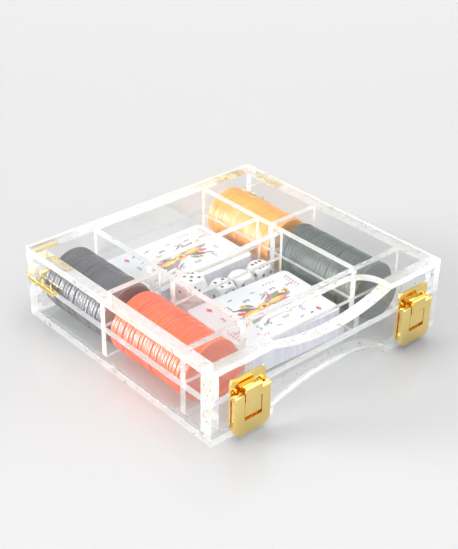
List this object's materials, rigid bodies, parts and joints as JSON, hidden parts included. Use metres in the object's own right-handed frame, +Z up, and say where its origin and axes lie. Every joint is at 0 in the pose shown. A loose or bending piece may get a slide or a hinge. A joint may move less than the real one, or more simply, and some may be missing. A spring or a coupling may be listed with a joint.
{
  "type": "poker chip case",
  "caption": "Clear acrylic carrying case with a hinged lid, divided bays of poker chips, playing cards and dice, a hand slot in front, brass corner hinges and draw latches.",
  "frame": {"origin": "middle of the underside of the case's bottom plate", "axes": "+X to the right along the latch side, +Y from the latches to the hinges, +Z up through the lid"},
  "size_m": [0.21, 0.2124, 0.056],
  "materials": {
    "clear_acrylic": "polished, clear",
    "polished_brass": "polished and plated gold",
    "chips_charcoal": "satin",
    "chips_coral": "satin",
    "chips_amber": "satin",
    "chips_green": "satin",
    "card_paper": "coated card",
    "dice_plastic": "glossy, rounded edges"
  },
  "bodies": {
    "base": {"base_back_wall": "clear_acrylic", "base_bottom_plate": "clear_acrylic", "base_front_wall": "clear_acrylic", "base_inner_front_wall": "clear_acrylic", "base_left_cross_divider": "clear_acrylic", "base_left_long_divider": "clear_acrylic", "base_left_wall": "clear_acrylic", "base_middle_back_divider": "clear_acrylic", "base_middle_front_divider": "clear_acrylic", "base_right_cross_divider": "clear_acrylic", "base_right_long_divider": "clear_acrylic", "base_right_wall": "clear_acrylic", "card_deck_back": "card_paper", "card_deck_front": "card_paper", "chips_amber": "chips_amber", "chips_charcoal": "chips_charcoal", "chips_coral": "chips_coral", "chips_green": "chips_green", "dice": "dice_plastic", "hinge_base_screws": "polished_brass", "latch_base_screws": "polished_brass", "left_hinge_base_leaf": "polished_brass", "left_hinge_pin": "polished_brass", "left_latch_base_plate": "polished_brass", "left_latch_pivot_pins": "polished_brass", "right_hinge_base_leaf": "polished_brass", "right_hinge_pin": "polished_brass", "right_latch_base_plate": "polished_brass", "right_latch_pivot_pins": "polished_brass"},
    "lid": {"catch_screws": "polished_brass", "hinge_lid_screws": "polished_brass", "left_catch_plate": "polished_brass", "left_hinge_lid_leaf": "polished_brass", "lid_back_wall": "clear_acrylic", "lid_front_wall": "clear_acrylic", "lid_inner_front_wall": "clear_acrylic", "lid_left_cross_divider": "clear_acrylic", "lid_left_long_divider": "clear_acrylic", "lid_left_wall": "clear_acrylic", "lid_middle_back_divider": "clear_acrylic", "lid_middle_front_divider": "clear_acrylic", "lid_right_cross_divider": "clear_acrylic", "lid_right_long_divider": "clear_acrylic", "lid_right_wall": "clear_acrylic", "lid_top_plate": "clear_acrylic", "right_catch_plate": "polished_brass", "right_hinge_lid_leaf": "polished_brass"},
    "left_lever": {"left_latch_lever": "polished_brass", "left_tongue_pin": "polished_brass"},
    "right_lever": {"right_latch_lever": "polished_brass", "right_tongue_pin": "polished_brass"},
    "left_tongue": {"left_latch_tongue": "polished_brass"},
    "right_tongue": {"right_latch_tongue": "polished_brass"}
  },
  "joints": [
    {"name": "lid_hinge", "type": "hinge", "parent": "base", "child": "lid", "pos_m": [0, 0.1028, 0.0305], "axis": [-1, 0, 0], "range_deg": [0, 95]},
    {"name": "left_lever_pivot", "type": "hinge", "parent": "base", "child": "left_lever", "pos_m": [-0.0765, -0.1042, 0.0324], "axis": [-1, 0, 0], "range_deg": [0, 110]},
    {"name": "left_tongue_pivot", "type": "hinge", "parent": "left_lever", "child": "left_tongue", "pos_m": [-0.0765, -0.1047, 0.0172], "axis": [-1, 0, 0], "range_deg": [-110, 0]},
    {"name": "right_lever_pivot", "type": "hinge", "parent": "base", "child": "right_lever", "pos_m": [0.0765, -0.1042, 0.0324], "axis": [-1, 0, 0], "range_deg": [0, 110]},
    {"name": "right_tongue_pivot", "type": "hinge", "parent": "right_lever", "child": "right_tongue", "pos_m": [0.0765, -0.1047, 0.0172], "axis": [-1, 0, 0], "range_deg": [-110, 0]}
  ],
  "couplings": [
    {"joint": "left_tongue_pivot", "follows": "left_lever_pivot", "ratio": -1},
    {"joint": "right_tongue_pivot", "follows": "right_lever_pivot", "ratio": -1}
  ]
}
